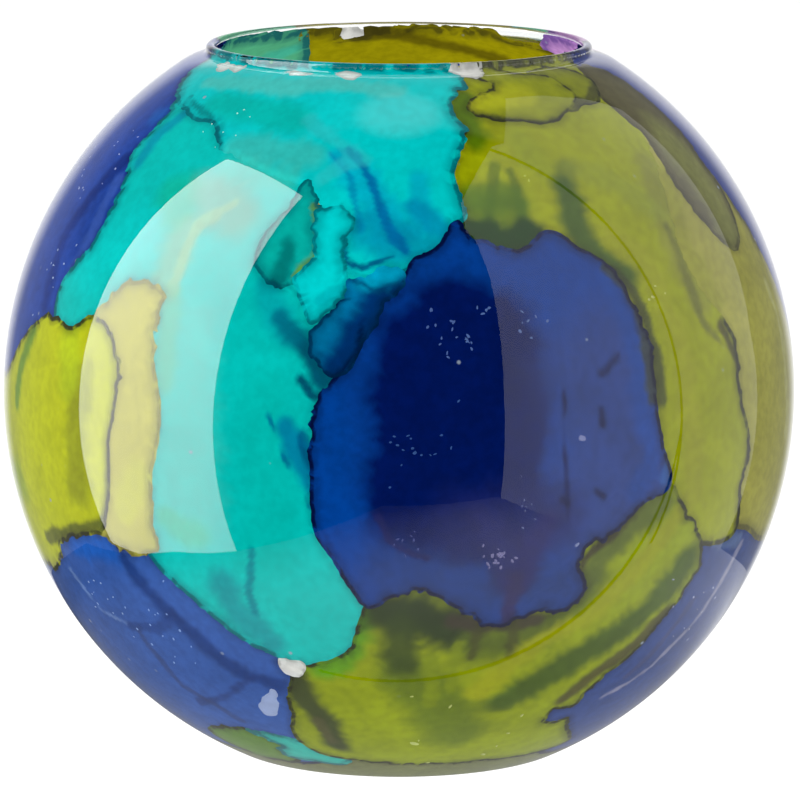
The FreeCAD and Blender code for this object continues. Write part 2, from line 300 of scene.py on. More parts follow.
def rims(node):
    """The rims of the face that a CAD pool turns to the glass, as rows of unit directions."""
    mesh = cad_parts[node].data
    corners = np.array([v.co for v in mesh.vertices])
    corners, weld = np.unique(np.round(corners, 7), axis=0, return_inverse=True)
    weld = weld.ravel()
    mesh.calc_loop_triangles()
    triangles = weld[np.array([t.vertices[:] for t in mesh.loop_triangles])]
    out = corners - CENTRE
    far = np.linalg.norm(out, axis=1)
    rays = out / far[:, None]
    on_glass = inner_reach(rays) - far < ON_GLASS
    a, b, c = (corners[triangles[:, i]] for i in range(3))
    normal = np.cross(b - a, c - a)
    normal /= np.maximum(np.linalg.norm(normal, axis=1), 1e-15)[:, None]
    facing = (normal * rays[triangles[:, 0]]).sum(axis=1)
    outer = triangles[on_glass[triangles].all(axis=1) & (facing > FACING)]
    edges = {(int(t[i]), int(t[(i + 1) % 3])) for t in outer for i in range(3)}
    follow = {}
    for start, end in edges:
        if (end, start) not in edges:
            follow.setdefault(start, []).append(end)
    loops = []
    while follow:
        start = next(iter(follow))
        loop, here = [], start
        while here in follow:
            loop.append(here)
            after = follow[here].pop()
            if not follow[here]:
                del follow[here]
            here = after
        loops.append(rays[loop])
    return loops


def flat_axes(middle):
    side = np.cross(middle, (0, 0, 1.0) if abs(middle[2]) < 0.9 else (0, 1.0, 0))
    side /= np.linalg.norm(side)
    return side, np.cross(middle, side)


def to_flat(rays, middle):
    """Stereographic map about a middle direction, true to size there, in metres."""
    side, rise = flat_axes(middle)
    return np.stack((rays @ side, rays @ rise), axis=1) * (2 * INSIDE_R / (1 + rays @ middle))[:, None]


def from_flat(points, middle):
    side, rise = flat_axes(middle)
    q = points / (2 * INSIDE_R)
    square = (q ** 2).sum(axis=1)[:, None]
    return ((1 - square) * middle + 2 * (q[:, :1] * side + q[:, 1:] * rise)) / (1 + square)


def area(loop):
    beyond = np.roll(loop, -1, axis=0)
    return (loop[:, 0] * beyond[:, 1] - loop[:, 1] * beyond[:, 0]).sum() / 2


def even_steps(rays, step):
    """A closed row of directions again, with its points evenly spaced."""
    closed = np.vstack((rays, rays[:1])) * INSIDE_R
    along = np.concatenate(([0], np.cumsum(np.linalg.norm(np.diff(closed, axis=0), axis=1))))
    places = np.linspace(0, along[-1], max(12, int(along[-1] / step)), endpoint=False)
    row = np.stack([np.interp(places, along, closed[:, i]) for i in range(3)], axis=1)
    return row / np.linalg.norm(row, axis=1)[:, None]


def ragged(rays, lap):
    """The rim laps under its neighbour and wanders as dried lacquer does."""
    points = rays * INSIDE_R
    along = np.roll(points, -1, axis=0) - np.roll(points, 1, axis=0)
    out = np.cross(along, rays)
    out /= np.maximum(np.linalg.norm(out, axis=1), 1e-12)[:, None]
    rough = [0.3 + 0.9 * smooth(0.5 + 1.6 * noise.noise(Vector(p / ROUGH_SIZE))) for p in points]
    points = points + out * lap + wander(points, RIM_WANDER) * np.array(rough)[:, None]
    return points / np.linalg.norm(points, axis=1)[:, None]


def inside(points, loop):
    """Which flat points lie within a closed flat loop."""
    x0, y0 = loop[:, 0], loop[:, 1]
    x1, y1 = np.roll(x0, -1), np.roll(y0, -1)
    slope = (x1 - x0) / np.where(y1 == y0, 1e-12, y1 - y0)
    within = []
    for batch in np.array_split(points, len(points) // 2000 + 1):
        x, y = batch[:, :1], batch[:, 1:]
        crosses = (y0 > y) != (y1 > y)
        within.append((crosses & (x < x0 + (y - y0) * slope)).sum(axis=1) % 2 == 1)
    return np.concatenate(within)


def even_cover():
    """Directions spread evenly all over, one to each 0.866 of a square grain."""
    count = int(4 * math.pi * INSIDE_R ** 2 / (0.866 * GRAIN ** 2))
    turn = np.arange(count) * math.pi * (3 - math.sqrt(5))
    height = 1 - 2 * (np.arange(count) + 0.5) / count
    level = np.sqrt(1 - height ** 2)
    return np.stack((level * np.cos(turn), level * np.sin(turn), height), axis=1)


COVER = even_cover()


def nearest(points, tree):
    return np.array([tree.find(point)[2] for point in points])


def tree_of(points):
    tree = kdtree.KDTree(len(points))
    for index, point in enumerate(points):
        tree.insert(point, index)
    tree.balance()
    return tree


def filled(loop, middle):
    """Triangles over a rim: rays, faces, and each ray's distance from the rim."""
    flat = to_flat(loop, middle)
    tree = tree_of(loop * INSIDE_R)
    spread = (loop @ middle).min()
    grains = COVER[COVER @ middle > spread]
    grains = grains[inside(to_flat(grains, middle), flat)]
    grains = grains[nearest(grains * INSIDE_R, tree) > RIM_CLEAR]
    points = np.vstack((flat, to_flat(grains, middle)))
    count = len(flat)
    edges = [(i, (i + 1) % count) for i in range(count)]
    made = geometry.delaunay_2d_cdt([Vector(p) for p in points], edges, [], 1, 1e-7)
    rays = from_flat(np.array([p[:] for p in made[0]]), middle)
    faces = [tuple(face) for face in made[2]]
    return rays, faces, nearest(rays * INSIDE_R, tree)


def shell(name, rays, faces, layer):
    """A thin closed film over the rays, its outer face sunk into the glass."""
    reach = inner_reach(rays) - layer * LAYER_STEP
    outer = CENTRE + rays * (reach + INK_SINK)[:, None]
    inner = CENTRE + rays * (reach + INK_SINK - INK_THICKNESS)[:, None]
    count = len(rays)
    edges = {(face[i], face[(i + 1) % 3]) for face in faces for i in range(3)}
    rim = [edge for edge in edges if edge[::-1] not in edges]
    back = [tuple(corner + count for corner in face[::-1]) for face in faces]
    side = [(b, a, a + count, b + count) for a, b in rim]
    obj = mesh_object(name, np.vstack((outer, inner)).tolist(), faces + back + side)
    smooth_faces = [True] * (2 * len(faces)) + [False] * len(side)
    obj.data.polygons.foreach_set("use_smooth", smooth_faces)
    return obj


# ---- a pool's colours ----

def brush_distance(points, path):
    """Distance from each point to a stroke, and how far along the stroke it is."""
    knots = direction(*np.array(path, float).T) * INSIDE_R
    best = np.full(len(points), 1.0)
    along = np.zeros(len(points))
    walked = 0.0
    for start, end in zip(knots[:-1], knots[1:]):
        leg = end - start
        length = np.linalg.norm(leg)
        share = np.clip((points - start) @ leg / length ** 2, 0, 1)
        on_leg = start + share[:, None] * leg
        on_leg *= (INSIDE_R / np.linalg.norm(on_leg, axis=1))[:, None]
        gap = np.linalg.norm(points - on_leg, axis=1)
        along = np.where(gap < best, walked + share * length, along)
        best = np.minimum(best, gap)
        walked += length
    return best, along


def painted(rays, colour, strokes):
    """The pool's colour under its strokes, laid in turn, and where they hide its dark rim."""
    points = rays * INSIDE_R
    drift = points + wander(points, BRUSH_WANDER, BRUSH_OFFSET)
    fray = np.array([noise.noise(Vector(point / FRAY_SIZE)) for point in points])
    sway = np.array([noise.noise(Vector(point / SWAY_SIZE)) for point in points])
    paint = np.tile(linear(colour), (len(rays), 1))
    calm = np.zeros(len(rays))
    for tint, width, strength, path in strokes:
        gap, along = brush_distance(drift, path)
        reach = gap / (width * 0.001)
        if width > WASH:
            streaks = np.sin(along / FINE_STREAK + 5 * sway) + np.sin(along / BROAD_STREAK + 1) + sway
            rough = min(1, BROAD / width)
            cover = smooth(1.4 - 0.9 * reach * (1 + rough * (0.1 * streaks + 0.08 * fray)))
        else:
            cover = smooth(1.7 - 1.2 * reach * (1 + 0.3 * fray + 0.35 * sway))
        cover = np.minimum(cover * strength, 1)
        if tint is None:
            calm = np.maximum(calm, cover)
        else:
            paint += (linear(tint) - paint) * cover[:, None]
    return paint, calm


def give_attributes(obj, paint, rim):
    mesh = obj.data
    colours = np.ones((len(mesh.vertices), 4))
    colours[:, :3] = np.vstack((paint, paint))
    layer = mesh.attributes.new("paint", "FLOAT_COLOR", "POINT")
    layer.data.foreach_set("color", colours.ravel())
    edge = mesh.attributes.new("rim", "FLOAT", "POINT")
    edge.data.foreach_set("value", np.concatenate((rim, rim)))


# ---- lacquer ----

def add(tree, kind, **settings):
    node = tree.nodes.new(kind)
    for key, value in settings.items():
        setattr(node, key, value)
    return node


def ramp_of(tree, value, start, low, end, high, shape="SMOOTHSTEP"):
    """A number that runs from low to high while another runs from start to end."""
    ramp = add(tree, "ShaderNodeMapRange", interpolation_type=shape)
    tree.links.new(value, ramp.inputs["Value"])
    for socket, number in zip(("From Min", "To Min", "From Max", "To Max"), (start, low, end, high)):
        ramp.inputs[socket].default_value = number
    return ramp.outputs["Result"]


def joined(tree, a, b, operation="MULTIPLY"):
    """Two numbers worked together. The second may be plain."""
    node = add(tree, "ShaderNodeMath", operation=operation)
    tree.links.new(a, node.inputs[0])
    if isinstance(b, float):
        node.inputs[1].default_value = b
    else:
        tree.links.new(b, node.inputs[1])
    return node.outputs["Value"]


def noise_at(tree, place, scale, detail, distortion=0.0):
    node = add(tree, "ShaderNodeTexNoise")
    node.inputs["Scale"].default_value = scale
    node.inputs["Detail"].default_value = detail
    node.inputs["Distortion"].default_value = distortion
    tree.links.new(place, node.inputs["Vector"])
    return node.outputs["Fac"]


def scaled(tree, colour, factor):
    node = add(tree, "ShaderNodeVectorMath", operation="SCALE")
    tree.links.new(colour, node.inputs[0])
    tree.links.new(factor, node.inputs["Scale"])
    return node.outputs["Vector"]


def tinted(tree, colour, tint, amount):
    """A colour mixed with a plain one by an amount."""
    node = add(tree, "ShaderNodeMix", data_type="RGBA")
    tree.links.new(amount, node.inputs[0])
    tree.links.new(colour, node.inputs[6])
    node.inputs[7].default_value = tint
    return node.outputs[2]


def mottled(tree, place, paint, mottle):
    """Pigment that gathered in clouds and in fine grain."""
    clouds = noise_at(tree, place, CLOUD_SCALE, 4, 1.2)
    clouds = ramp_of(tree, clouds, 0.3, 1 - mottle, 0.7, 1 + mottle)
    fine = mottle * FINE_MOTTLE
    grain = ramp_of(tree, noise_at(tree, place, GRAIN_SCALE, 3), 0.3, 1 - fine, 0.7, 1 + fine)
    return scaled(tree, scaled(tree, paint, clouds), grain)


def rimmed(tree, place, colour, line_colour, line_strength):
    """A broken dark line along the rim, and a soft shade inside it."""
    rim = add(tree, "ShaderNodeAttribute", attribute_name="rim").outputs["Fac"]
    line = ramp_of(tree, rim, 0.0001, 1.0, LINE_WIDTH, 0.0)
    patchy = ramp_of(tree, noise_at(tree, place, PATCH_SCALE, 3, 1.5), 0.36, 0.35, 0.52, 1.0)
    shade = ramp_of(tree, rim, 0.0, RIM_SHADE, RIM_SHADE_WIDTH, 0.0)
    shaded = tinted(tree, colour, line_colour, joined(tree, shade, patchy))
    strength = joined(tree, joined(tree, line, patchy), line_strength)
    return tinted(tree, shaded, line_colour, strength)


def pinholed(tree, place, colour, share):
    """Rare pinholes in clusters, in about this share of small cells, painted pale for the light that
    shines through them.
    """
    cells = add(tree, "ShaderNodeTexVoronoi")
    cells.inputs["Scale"].default_value = PINHOLE_CELLS
    tree.links.new(place, cells.inputs["Vector"])
    holes = ramp_of(tree, cells.outputs["Distance"], 0.12, 1.0, 0.3, 0.0)
    chosen = add(tree, "ShaderNodeSeparateColor")
    tree.links.new(cells.outputs["Color"], chosen.inputs[0])
    rare = ramp_of(tree, chosen.outputs[0], 1 - share, 0.0, 1 - share * 0.9, 1.0)
    clusters = ramp_of(tree, noise_at(tree, place, CLUSTER_SCALE, 1), 0.5, 0.0, 0.62, 0.8)
    return tinted(tree, colour, PINHOLE_LIGHT_COLOUR, joined(tree, joined(tree, holes, rare), clusters))


def ink_material(name, line_colour, line_strength, mottle, pinholes):
    """Dried lacquer: mottled pigment, a darker rim and a few pinholes painted pale with light. Some
    light goes through.
    """
    material = bpy.data.materials.new(name)
    material.use_nodes = True
    tree = material.node_tree
    shader = tree.nodes["Principled BSDF"]
    shader.inputs["Roughness"].default_value = 0.35
    shader.inputs["Specular IOR Level"].default_value = 0.0
    place = add(tree, "ShaderNodeTexCoord").outputs["Object"]
    paint = add(tree, "ShaderNodeAttribute", attribute_name="paint").outputs["Color"]
    colour = mottled(tree, place, paint, mottle)
    colour = rimmed(tree, place, colour, line_colour, line_strength)
    colour = pinholed(tree, place, colour, pinholes)
    tree.links.new(colour, shader.inputs["Base Color"])
    through = add(tree, "ShaderNodeBsdfTranslucent")
    tree.links.new(colour, through.inputs["Color"])
    mixed = add(tree, "ShaderNodeMixShader")
    mixed.inputs[0].default_value = LIGHT_THROUGH
    tree.links.new(shader.outputs[0], mixed.inputs[1])
    tree.links.new(through.outputs[0], mixed.inputs[2])
    tree.links.new(mixed.outputs[0], tree.nodes["Material Output"].inputs["Surface"])
    return material


# Each lacquer: its rim's colour and strength, its mottling and its share of pinholes.

LACQUERS = {
    "cobalt_ink": ((0.001, 0.002, 0.025, 1), 0.9, 0.1, 0.03),
    "turquoise_ink": ((0.0, 0.07, 0.1, 1), 0.7, 0.06, 0.015),
    "petrol_ink": ((0.0, 0.014, 0.05, 1), 0.75, 0.1, 0.02),
    "lime_ink": ((0.016, 0.018, 0.004, 1), 0.95, 0.08, 0.02),
    "lemon_ink": ((0.12, 0.11, 0.02, 1), 0.6, 0.06, 0.02),
    "olive_ink": ((0.03, 0.026, 0.006, 1), 0.6, 0.1, 0.02),
    "violet_ink": ((0.05, 0.02, 0.2, 1), 0.5, 0.12, 0.02),
    # painted light: pale marks that stand for light seen through bare glass
    "white_ink": ((0.35, 0.35, 0.33, 1), 0.6, 0.03, 0.01),
}
MATERIALS = {name: ink_material(name, *look) for name, look in LACQUERS.items()}

# Each pool, from the first poured to the last: its node, its material, its own colour, and its
# strokes as (colour, half width in millimetres, strength, path of directions). A stroke without
# a colour hides the dark rim there, and one with a strength over 1 has a firm edge.

POOLS = (
    # Bare chips where the lacquer is missing, painted white for the bright light seen through the clear
    # glass; the bluish stroke paints the far wall seen through one.
    ("white_flecks", "white_ink", (225, 225, 220), (
        ((118, 142, 190), 6, 0.8, ((-23, -38), (-27, -45))),
        (None, 6, 1, ((-23, -38), (-27, -45))),
        ((235, 238, 235), 1.5, 0.8, ((-18, -36), (-16, -35))),
    )),
    ("lime_neck_petal", "lime_ink", (140, 148, 8), (
        ((60, 66, 25), 1.8, 0.9, ((18, 50.5), (26, 49), (34, 48.5), (42, 50))),
        ((168, 172, 8), 4.2, 0.95, ((20, 54.5), (32, 55))),
    )),
    ("lime_lip_petal", "lime_ink", (125, 132, 15), (
        ((60, 62, 30), 2, 0.8, ((42, 53), (50, 52.5), (58, 54.5))),
    )),
    ("turquoise_bead", "turquoise_ink", (1, 203, 203), (
        ((0, 168, 175), 1.6, 0.7, ((-11, 22), (-8.5, 24))),
    )),
    ("teal_leaf", "turquoise_ink", (4, 168, 157), (
        ((0, 100, 100), 2.4, 0.8, ((-18, 30), (-19, 25))),
        ((104, 160, 50), 1, 0.9, ((-14.5, 36), (-13.8, 33), (-13.6, 29), (-16, 26))),
        ((0, 40, 50), 1.2, 0.8, ((-20, 24), (-16, 23))),
    )),
    ("petrol_lobes", "petrol_ink", (0, 112, 160), (
        (None, 3.5, 0.7, ((2, 28), (-5, 26.5))),
        ((0, 40, 100), 4, 0.95, ((-1, 26), (-4, 20), (-9, 13))),
        ((0, 20, 60), 0.8, 0.9, ((-12.5, 18.5), (-8, 22), (-4, 23), (-6, 15), (-9.5, 11))),
        ((0, 152, 186), 3.4, 0.95, ((2, 28), (-5, 25.5))),
        ((0, 60, 105), 0.7, 0.9, ((2, 25.5), (-3, 23.5), (-7, 25.5), (-9, 28.5))),
    )),
    ("cobalt_front", "cobalt_ink", (4, 58, 138), (
        ((3, 40, 112), 18, 1, ((8, 13.5), (9, 2), (7, -5))),
        ((1, 20, 84), 16, 4, ((9, 13), (9, 2), (8, -4))),
        ((42, 62, 126), 17, 0.8, ((31, 10), (34, 0), (30, -9))),
        ((0, 62, 146), 5, 0.7, ((-10, 8), (-10, -6), (-7, -14))),
        ((25, 56, 122), 9, 0.9, ((0, -17), (8, -21), (22, -20))),
        ((24, 34, 96), 9, 0.8, ((10, -9), (22, -9))),
        ((30, 30, 82), 5, 0.8, ((17, -13), (17, -18))),
        ((32, 38, 98), 3.6, 0.9, ((11, -8.5), (15, -13), (17, -18))),
        ((34, 36, 96), 3, 0.9, ((22, -9), (19, -14), (17, -19))),
        ((42, 38, 88), 1.9, 0.95, ((17, -18), (17.2, -26))),
        ((24, 30, 88), 1, 0.9, ((-3, -8), (-1, -12), (4, -14))),
        ((12, 66, 150), 3.5, 0.7, ((34, 24), (37, 12), (38, 0), (36, -7))),
        ((0, 18, 78), 0.8, 0.85, ((23.5, 8), (24, 0), (25, -10))),
        ((40, 95, 170), 1.6, 0.7, ((41, 4), (41, -5))),
        ((8, 18, 62), 1.3, 0.75, ((33, 13), (30, 11))),
        ((0, 10, 60), 1.2, 0.75, ((30, 5.5), (30.5, 3.5))),
        ((0, 10, 60), 1.1, 0.75, ((24, -6), (25, -7))),
        ((0, 10, 60), 1.1, 0.75, ((29, -5.5), (30, -6.5))),
        ((58, 66, 46), 1.7, 0.85, ((34, 25.5), (36.5, 22), (38, 17.5), (38.5, 12), (39, 6.5))),
    )),
    ("lime_lower", "lime_ink", (138, 152, 4), (
        ((86, 106, 20), 8, 0.8, ((2, -35), (8, -41), (12, -48))),
        ((88, 104, 16), 5, 0.85, ((14, -30), (24, -27), (30, -21))),
        ((55, 65, 32), 3.2, 0.95, ((-18.5, -36), (-17, -40), (-15, -46), (-15.5, -52))),
        ((80, 78, 45), 1.8, 0.8, ((-17, -45), (-16, -51))),
        ((80, 150, 12), 3.4, 0.8, ((-6, -24), (-7.5, -30), (-13.5, -34))),
        ((42, 57, 20), 6.5, 1, ((-2, -23.5), (3, -23.5), (9, -26))),
        ((50, 66, 20), 4.5, 0.9, ((0, -26), (1, -32))),
        ((78, 92, 22), 4.5, 0.8, ((12, -28), (18, -28), (24, -26))),
        ((122, 138, 8), 1.9, 0.8, ((6, -31), (5.5, -40.5))),
        ((122, 138, 8), 1.6, 0.8, ((10, -29), (9, -37.5))),
        ((60, 54, 40), 2.3, 0.95, ((8, -24.5), (13, -25.5), (17, -25), (22, -24.5))),
        ((64, 66, 26), 1.4, 0.8, ((13, -25), (12.5, -31))),
        ((64, 66, 26), 1.4, 0.8, ((18, -25), (18.5, -32))),
        ((64, 86, 22), 4.6, 0.95, ((19.5, -41), (27, -36), (35, -31), (43, -25.5), (49, -19))),
        ((146, 152, 6), 3, 0.95, ((14, -38), (22.5, -29.5), (31, -25), (36, -20.5), (44, -11))),
        ((68, 60, 36), 2.3, 0.85, ((32.5, -42), (38, -37), (44, -32), (48, -27))),
        ((84, 98, 36), 3.6, 0.9, ((41, -8), (35, -12), (31, -16), (28.5, -20))),
        ((60, 54, 38), 1.5, 0.9, ((38, -7), (33, -12), (28, -16.5), (27, -20))),
    )),
    ("lime_left", "lime_ink", (186, 194, 10), (
        ((140, 148, 24), 4.5, 0.8, ((-52, 8), (-53, -8))),
        ((80, 135, 45), 2.2, 0.8, ((-68, 12), (-72, 6), (-72.5, 1))),
        ((176, 200, 22), 4, 0.6, ((-56, 14.5), (-55.5, 6.5))),
        ((110, 150, 40), 5, 0.5, ((-90, -14), (-75, -11))),
        ((80, 88, 28), 1.9, 0.85, ((-66.5, -18), (-58, -15.5), (-52, -14), (-47.5, -12.5))),
        ((105, 115, 35), 1.5, 0.8, ((-45, -1.5), (-46.5, -10), (-49, -13.5))),
    )),
    ("lemon_pool", "lemon_ink", (180, 177, 70), (
        ((150, 150, 40), 0.8, 0.75, ((-51.5, 17), (-47.5, 13), (-46, 5.5))),
        ((190, 196, 60), 4, 0.5, ((-40, -4), (-43, -10))),
    )),
    ("turquoise_crown", "turquoise_ink", (1, 197, 196), (
        (None, 3, 1, ((-36, 44), (-30.5, 41.5), (-17, 38.5), (-12, 38))),
        ((0, 160, 192), 4, 0.7, ((-11, 44), (-5, 38), (-1, 32))),
        ((0, 155, 190), 3, 0.6, ((4, 40), (3, 33))),
        ((58, 185, 170), 4, 0.6, ((-34, 41), (-22, 40))),
        ((0, 138, 170), 5, 0.75, ((-5, 33), (0, 30), (4, 29))),
        ((0, 138, 178), 3, 0.8, ((2, 36), (8, 32), (12, 30.5))),
        ((0, 100, 158), 1, 0.9, ((-10, 46), (-6, 41), (-2.5, 34), (0.5, 29))),
        ((0, 125, 170), 0.8, 0.7, ((-14, 45), (-9, 40), (-6, 33))),
        ((60, 176, 165), 4.5, 0.6, ((-34, 44.5), (-18, 44))),
        ((0, 168, 150), 5, 0.6, ((-46, 52), (-24, 51))),
        ((95, 185, 172), 2.5, 0.5, ((-58, 56), (-30, 57), (0, 57))),
        ((45, 188, 190), 2, 0.5, ((-21, 51), (-8, 44.5), (-14.5, 40))),
        ((0, 75, 125), 0.7, 0.9, ((-9, 34), (-9.3, 31), (-8.5, 28.5), (-6, 27.5), (-1, 28.5))),
        ((0, 125, 128), 0.9, 0.8, ((-59, 52.5), (-49.5, 50), (-42.5, 48), (-37.5, 44.5), (-35.5, 41))),
    )),
    ("turquoise_wash", "turquoise_ink", (2, 188, 180), (
        (None, 3, 1, ((-36, 44), (-30.5, 41.5), (-17, 38.5))),
        ((58, 185, 170), 4, 0.6, ((-34, 41), (-22, 40))),
        ((2, 205, 200), 8, 0.7, ((-48, 30), (-56, 24))),
        ((56, 190, 180), 8, 0.9, ((-33, 16), (-31, 2), (-31, -9))),
        # Partly painted reflection: the next two grey-green strokes lie under the left softbox's
        # reflection and add its grey tone to the lacquer.
        ((105, 174, 157), 6, 0.85, ((-36, 37), (-29, 34))),
        ((112, 178, 152), 4, 0.8, ((-37, 31), (-39, 22))),
        ((2, 182, 172), 7, 0.8, ((-19, 8), (-18, -6), (-20, -14))),
        ((15, 172, 130), 5, 0.5, ((-40, 33), (-43, 37))),
        ((0, 135, 170), 2.2, 0.7, ((-57, 40.5), (-58, 45), (-55.5, 49))),
        ((150, 190, 145), 1.6, 0.6, ((-30, 35.5), (-35, 32), (-36.5, 27.5), (-37, 22))),
        ((95, 178, 145), 2.6, 0.6, ((-37, 21.5), (-36, 16), (-35.5, 9))),
        ((0, 62, 100), 2.6, 0.9, ((-17.5, 20), (-13, 14.5), (-10.5, 11))),
        ((0, 130, 150), 4, 0.5, ((-20, 23), (-16, 17))),
        ((0, 30, 85), 1.2, 0.85, ((-14, 11), (-12, 9), (-9.5, 8.5))),
        ((0, 120, 158), 2.7, 0.9, ((-15.3, 4), (-13.5, 0), (-12.2, -4))),
        ((0, 96, 138), 0.7, 0.85, ((-18.3, 5.5), (-15.5, 0), (-13, -6.5))),
        ((0, 70, 125), 1.2, 0.7, ((-13, 3), (-11.8, -3))),
        ((60, 178, 130), 3.5, 0.5, ((-35, -10.5), (-33, -12), (-30, -12))),
        ((20, 132, 145), 4, 0.7, ((-21, -29), (-25.5, -23.5), (-27, -20.5))),
        ((0, 110, 132), 1, 0.7, ((-22, -14), (-22.5, -20), (-22, -24))),
    )),
    ("olive_shoulder", "olive_ink", (86, 82, 50), (
        ((126, 130, 70), 7, 0.9, ((66, 43), (68.5, 36), (68, 28))),
    )),
    ("lime_right", "lime_ink", (146, 154, 6), (
        (None, 4, 1, ((56, 46), (54, 41), (48.5, 28), (50, 22.5), (53, 17))),
        ((128, 131, 50), 4.5, 0.7, ((54, 40), (49, 28), (52, 20))),
        ((158, 168, 10), 3, 0.8, ((15, 43), (18, 40))),
        ((140, 152, 20), 4, 0.8, ((26, 46), (27, 42))),
        ((66, 104, 10), 3.5, 0.85, ((16, 55), (15, 51), (16, 47))),
        ((83, 118, 22), 4, 0.7, ((13.5, 37), (22, 36.5))),
        ((75, 100, 20), 1.5, 0.7, ((14, 31), (16, 36), (18, 42))),
        ((75, 100, 20), 1.5, 0.7, ((21, 31), (21.5, 36), (21, 41))),
        ((72, 106, 18), 6, 0.7, ((14, 35), (19, 34))),
        ((34, 64, 28), 3.6, 1.3, ((11, 33), (14.5, 31), (18, 30), (23, 31.5))),
        ((152, 160, 12), 2.4, 0.8, ((24.5, 41), (24.5, 34.5))),
        ((95, 112, 38), 2.4, 0.7, ((30.5, 39), (33, 41.5))),
        ((62, 88, 34), 3.8, 0.95, ((30.5, 38), (31, 33), (33, 28), (37.5, 24))),
        ((126, 138, 42), 4, 0.5, ((35, 41), (42, 38.5), (48, 33.5))),
        ((152, 156, 30), 3.5, 0.7, ((37.5, 30.5), (42.5, 24.5), (44.5, 15), (45.5, 6), (47, -8))),
        ((102, 105, 42), 1.3, 0.8, ((49, 30.5), (49.5, 22.5), (51, 16), (56, 12))),
        ((118, 122, 30), 5, 0.5, ((54, 36), (58, 26), (62, 14))),
        ((66, 62, 22), 1.4, 0.9, ((55.5, 15), (58, 10), (60, 4.5), (61, 1.5), (60.5, -6.5), (60, -14))),
        ((56, 64, 40), 1.9, 0.85, ((35, 25), (37.5, 21.5), (39, 17), (39.5, 12), (40, 6.5))),
    )),
    ("olive_veil", "olive_ink", (156, 154, 60), (
        (None, 4, 1, ((56, 46), (54, 41), (48.5, 28), (50, 22.5), (53, 17))),
        ((140, 142, 40), 4.5, 0.8, ((56, 38), (51, 28), (54, 18))),
        ((185, 185, 115), 1.4, 0.6, ((75, 18), (77, 8), (76, -4))),
    )),
    ("turquoise_scrap", "turquoise_ink", (40, 180, 165), ()),
    ("lime_scrap", "lime_ink", (90, 130, 40), ()),
    ("cobalt_lower_left", "cobalt_ink", (48, 86, 160), (
        ((8, 90, 188), 4, 0.85, ((-57.5, -17.5), (-49, -17))),
        # Painted reflection: the darker blue bands below lie where the glass's whitening reflection is
        # missing.
        ((14, 48, 112), 2.4, 0.8, ((-45.5, -18), (-42.5, -22.5), (-39.5, -25.5), (-28, -35.5),
                                   (-21.5, -38))),
        ((28, 58, 122), 1.7, 0.7, ((-38, -26.5), (-43.5, -29.5), (-50.5, -30))),
        ((28, 52, 112), 1.5, 0.7, ((-26, -36.5), (-37.5, -43), (-44, -44.5))),
        ((44, 62, 112), 1.1, 0.7, ((-48, -30.5), (-45.5, -40.5), (-35, -47.5))),
        ((120, 150, 205), 0.8, 0.65, ((-62.5, -22), (-57.5, -28), (-51, -29.5))),
    )),
    ("cobalt_lower_right", "cobalt_ink", (44, 68, 130), (
        ((95, 118, 160), 2, 0.6, ((55, -17), (62.5, -17))),
        ((150, 150, 175), 1, 0.7, ((64, -18), (60, -29), (53.5, -38), (44.5, -43.5))),
        ((58, 66, 110), 1.2, 0.7, ((54, -26), (51.5, -33), (47, -39))),
    )),
    ("cobalt_left", "cobalt_ink", (30, 68, 158), (
        ((25, 95, 180), 3, 0.6, ((-64, 47.5), (-57, 50))),
        ((8, 42, 122), 2.6, 0.75, ((-61.5, 40.5), (-65.5, 33.5), (-68.5, 27.5), (-66.5, 16))),
        ((60, 92, 172), 2, 0.6, ((-60, 36.5), (-59.5, 28.5), (-61, 20.5))),
    )),
    ("cobalt_right", "cobalt_ink", (25, 55, 145), ()),
    ("violet_blush", "violet_ink", (190, 140, 200), (
        ((205, 165, 215), 3, 0.6, ((105, 56), (122, 52))),
    )),
    ("olive_back", "olive_ink", (146, 138, 8), (
        # Painted shade: this darker band near the neck stands for the darkening seen through the neck's
        # glass.
        ((70, 60, 10), 3, 0.7, ((150, 52), (170, 60), (190, 62))),
        ((160, 155, 30), 2.5, 0.6, ((145, 40), (160, 30))),
    )),
    ("teal_back", "turquoise_ink", (78, 165, 122), (
        ((120, 130, 30), 3, 0.8, ((196, 62), (200, 52), (198, 42))),
        ((60, 175, 150), 3, 0.7, ((212, 58), (222, 54))),
        ((0, 100, 95), 3, 0.7, ((200, 40), (210, 25), (205, 10))),
        ((120, 190, 150), 2, 0.6, ((215, 30), (222, 12))),
    )),
    ("cobalt_back", "cobalt_ink", (10, 45, 125), (
        ((2, 20, 80), 9, 0.8, ((150, 10), (160, -5))),
        ((60, 95, 160), 1.6, 0.7, ((135, 25), (150, 22), (168, 14))),
        ((30, 80, 160), 3, 0.6, ((170, -20), (185, -12))),
    )),
    ("turquoise_back", "turquoise_ink", (5, 180, 180), (
        ((0, 130, 150), 3.5, 0.7, ((225, -5), (235, -20))),
        ((110, 200, 180), 2, 0.6, ((215, 0), (228, 8), (240, 4))),
    )),
    ("lime_back", "lime_ink", (150, 158, 15), (
        ((60, 80, 15), 3.5, 0.8, ((120, -25), (135, -32), (150, -30))),
        ((175, 180, 20), 3, 0.6, ((110, -38), (130, -45))),
    )),
    ("petrol_back", "petrol_ink", (5, 95, 130), (
        ((0, 45, 90), 3, 0.7, ((195, -30), (210, -38))),
    )),
    ("olive_base", "olive_ink", (112, 118, 70), ()),
)


